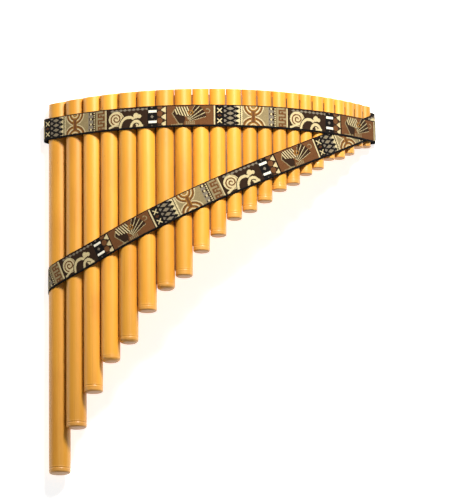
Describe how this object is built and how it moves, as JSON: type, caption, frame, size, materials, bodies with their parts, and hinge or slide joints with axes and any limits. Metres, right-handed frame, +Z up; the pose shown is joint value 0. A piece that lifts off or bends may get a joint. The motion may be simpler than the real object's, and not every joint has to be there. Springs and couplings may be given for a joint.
{
  "type": "pan flute",
  "caption": "Curved pan flute: stopped cane pipes in a row, each shorter and thinner than the last, glued side by side and bound by a level and a slanting woven ribbon.",
  "frame": {"origin": "under the middle of the bounding box, on the surface that the flute lies on with its hollow side down", "axes": "+X across the pipes from the longest to the shortest, +Y along the pipes towards their mouths, +Z up, out of the front of the arch"},
  "size_m": [0.3804, 0.43, 0.0925],
  "materials": {
    "cane": "golden, smooth natural cane with a satin varnish, darker along its sides",
    "wax": "matt beeswax",
    "glue": "dark amber glue",
    "ribbon": "woven jacquard ribbon in black, brown, beige and cream with geometric motifs"
  },
  "bodies": {
    "root": {"pipe_01": "cane", "pipe_02": "cane", "pipe_03": "cane", "pipe_04": "cane", "pipe_05": "cane", "pipe_06": "cane", "pipe_07": "cane", "pipe_08": "cane", "pipe_09": "cane", "pipe_10": "cane", "pipe_11": "cane", "pipe_12": "cane", "pipe_13": "cane", "pipe_14": "cane", "pipe_15": "cane", "pipe_16": "cane", "pipe_17": "cane", "pipe_18": "cane", "pipe_19": "cane", "pipe_20": "cane", "pipe_21": "cane", "pipe_22": "cane", "wax_01": "wax", "wax_02": "wax", "wax_03": "wax", "wax_04": "wax", "wax_05": "wax", "wax_06": "wax", "wax_07": "wax", "wax_08": "wax", "wax_09": "wax", "wax_10": "wax", "wax_11": "wax", "wax_12": "wax", "wax_13": "wax", "wax_14": "wax", "wax_15": "wax", "wax_16": "wax", "wax_17": "wax", "wax_18": "wax", "wax_19": "wax", "wax_20": "wax", "wax_21": "wax", "wax_22": "wax", "glue_seams": "glue", "diagonal_ribbon": "ribbon", "top_ribbon": "ribbon"}
  },
  "joints": []
}
